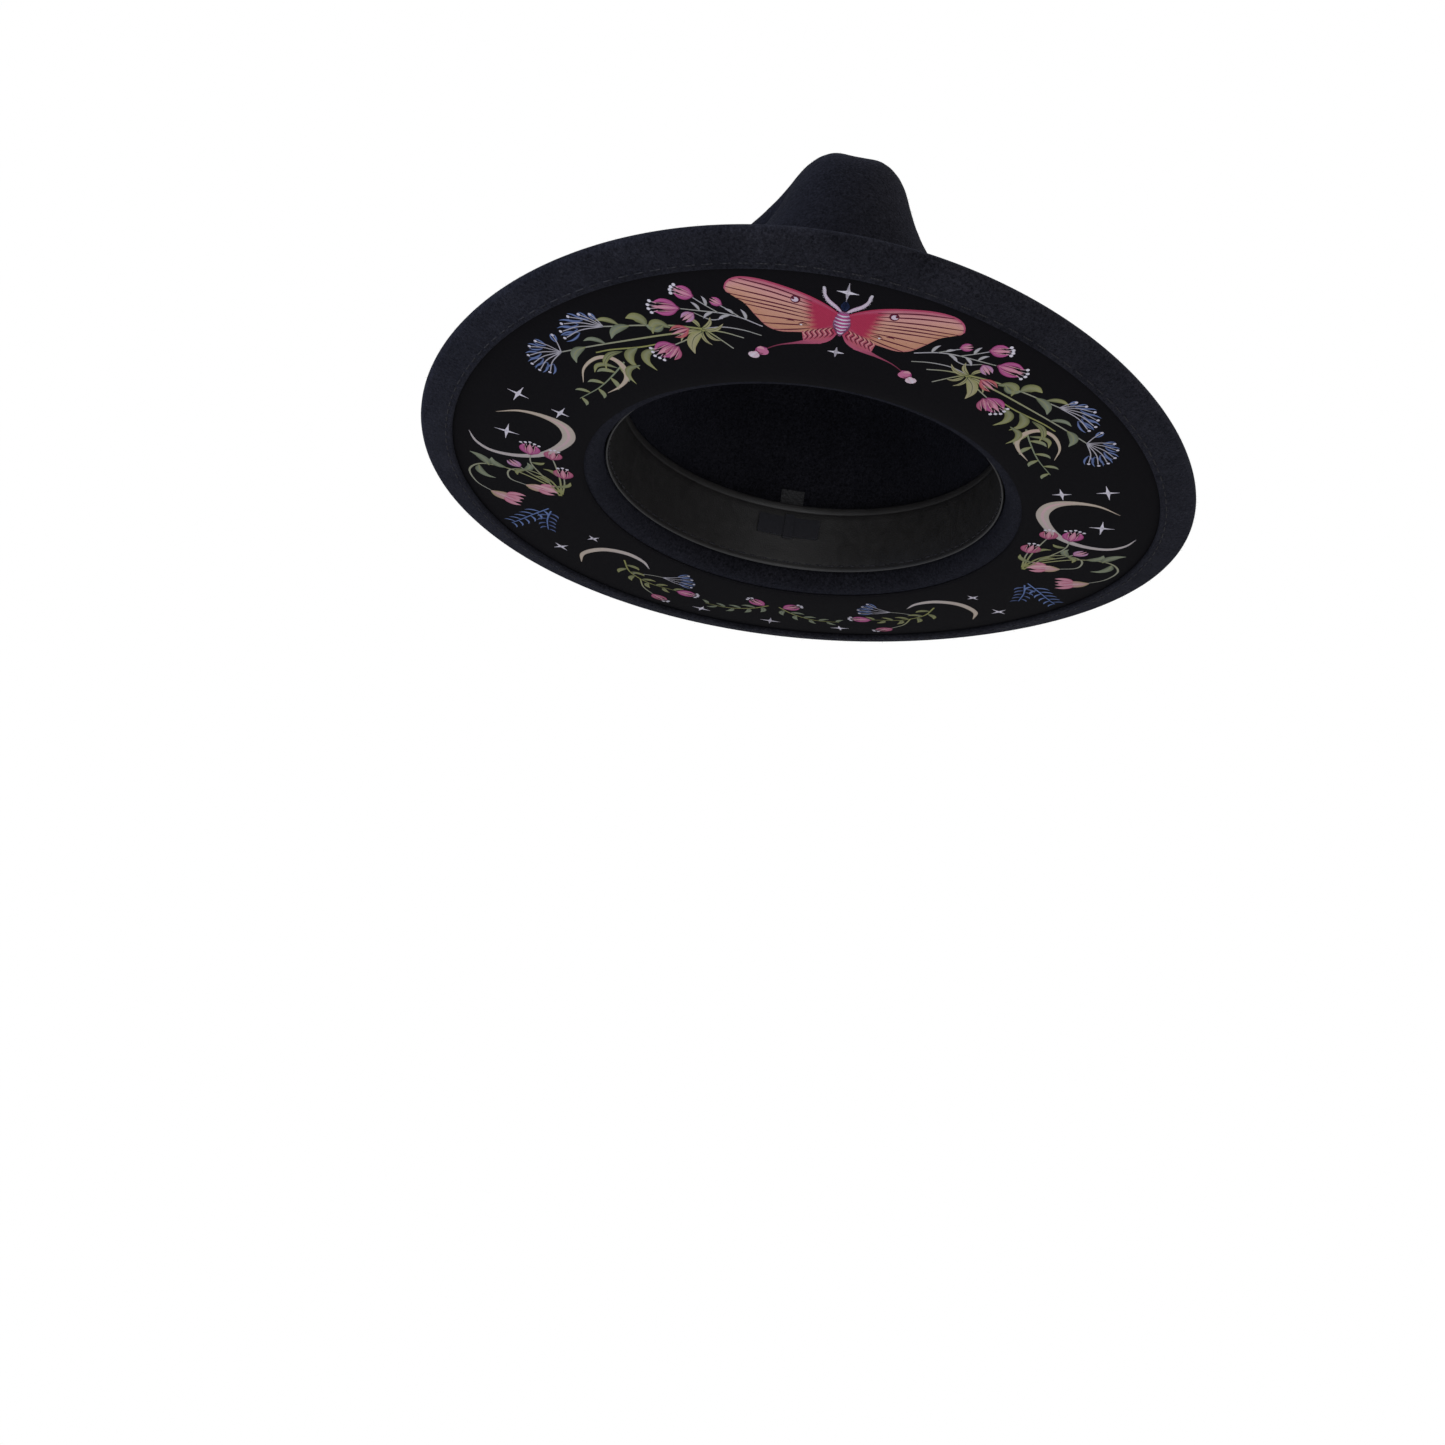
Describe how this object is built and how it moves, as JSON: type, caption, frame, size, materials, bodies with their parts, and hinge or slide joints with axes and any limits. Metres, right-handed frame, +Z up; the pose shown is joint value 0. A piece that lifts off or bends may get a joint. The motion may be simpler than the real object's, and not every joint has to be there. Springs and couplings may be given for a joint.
{
  "type": "wide-brimmed felt hat",
  "caption": "Wide-brimmed pinched-crown felt hat with a printed underbrim, an overwelt edge, a ribbon band and an adjustable sweatband.",
  "frame": {"origin": "centre of the plan outline, on the level plane under the brim that the hat rests on", "axes": "+Z up through the crown, -Y out of the front of the hat, +X towards the wearer's left"},
  "size_m": [0.3222, 0.3776, 0.1166],
  "materials": {
    "felt": "matte pressed wool felt",
    "printed_cloth": "fine smooth woven cloth with a coloured print",
    "thread": "twisted polyester thread",
    "sweatband_leather": "satin grained leather",
    "grosgrain": "ribbed ribbon with a low sheen",
    "tape": "hook and loop tape"
  },
  "bodies": {
    "root": {"felt_body": "felt", "underbrim_cloth": "printed_cloth", "welt_stitches": "thread", "sweatband": "sweatband_leather", "sweatband_stitches": "thread", "sweatband_bow": "grosgrain", "sizing_loop_tape": "tape", "hatband": "grosgrain", "hatband_bow_loops": "grosgrain", "hatband_bow_knot": "grosgrain", "hatband_tacks": "thread"},
    "sizing_tab": {"sizing_hook_tab": "tape"}
  },
  "joints": [
    {"name": "sizing_slide", "type": "hinge", "parent": "root", "child": "sizing_tab", "pos_m": [0, 0.03282, 0.02], "axis": [0, 0, 1], "range_deg": [-10, 10]}
  ]
}
